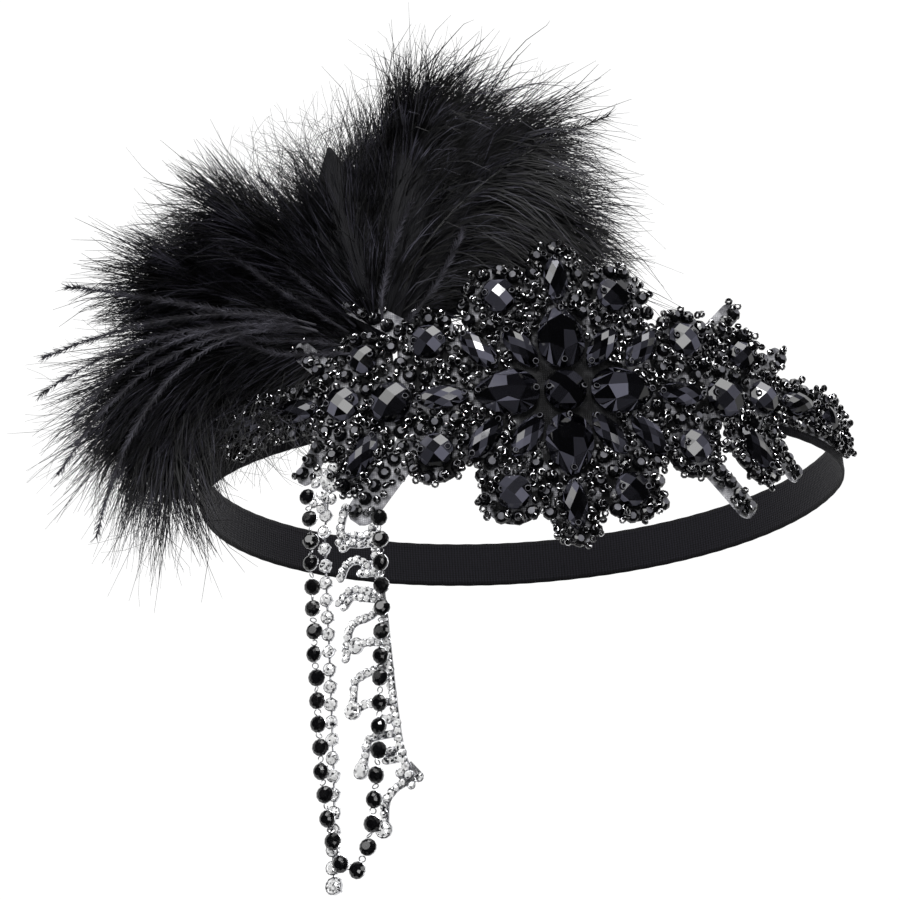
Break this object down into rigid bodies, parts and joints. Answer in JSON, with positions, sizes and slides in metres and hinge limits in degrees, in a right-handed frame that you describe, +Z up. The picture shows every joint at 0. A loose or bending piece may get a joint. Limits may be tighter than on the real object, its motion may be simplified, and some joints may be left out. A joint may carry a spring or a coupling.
{
  "type": "feather headband",
  "caption": "Flapper headband: an elastic loop with a black faceted-stone appliqué over the forehead, a curled feather plume at one side and jet and crystal chains hanging below it.",
  "frame": {"origin": "middle of the head opening, at half the height of the elastic band", "axes": "the band lies level in XY, the appliqué faces -Y, +X is the viewer's right, +Z is up and the chains hang along -Z"},
  "size_m": [0.2459, 0.1713, 0.249],
  "materials": {
    "elastic": "black ribbed woven elastic, matte",
    "organza": "grey stiffened organza with sewn black chatons, slight sheen",
    "jet": "black faceted acrylic and jet glass, polished",
    "crystal": "silver-plated cups set with clear crystals, bright",
    "feather": "black curled feather, soft and matte"
  },
  "bodies": {
    "root": {"elastic_band": "elastic", "applique_backing": "organza", "stone_centre": "jet", "stone_pear_side_right": "jet", "stone_pear_side_left": "jet", "stone_pear_top": "jet", "stone_pear_bottom": "jet", "stone_inner_top_right": "jet", "stone_inner_top_left": "jet", "stone_inner_bottom_right": "jet", "stone_inner_bottom_left": "jet", "stone_tip_top": "jet", "stone_tip_bottom": "jet", "stone_spine_inner_right": "jet", "stone_spine_inner_left": "jet", "stone_lobe_top_right": "jet", "stone_lobe_top_left": "jet", "stone_lobe_bottom_right": "jet", "stone_lobe_bottom_left": "jet", "stone_outer_top_right": "jet", "stone_outer_top_left": "jet", "stone_outer_bottom_right": "jet", "stone_outer_bottom_left": "jet", "stone_shoulder_top_right": "jet", "stone_shoulder_top_left": "jet", "stone_shoulder_bottom_right": "jet", "stone_shoulder_bottom_left": "jet", "stone_spine_large_right": "jet", "stone_spine_large_left": "jet", "stone_wing_top_right": "jet", "stone_wing_top_left": "jet", "stone_wing_bottom_right": "jet", "stone_wing_bottom_left": "jet", "stone_spine_medium_right": "jet", "stone_spine_medium_left": "jet", "stone_spine_outer_right": "jet", "stone_spine_outer_left": "jet", "stone_spine_end_right": "jet", "stone_spine_end_left": "jet", "plume": "feather", "jet_chain": "jet", "crystal_chain": "crystal", "crystal_scroll": "crystal"}
  },
  "joints": []
}
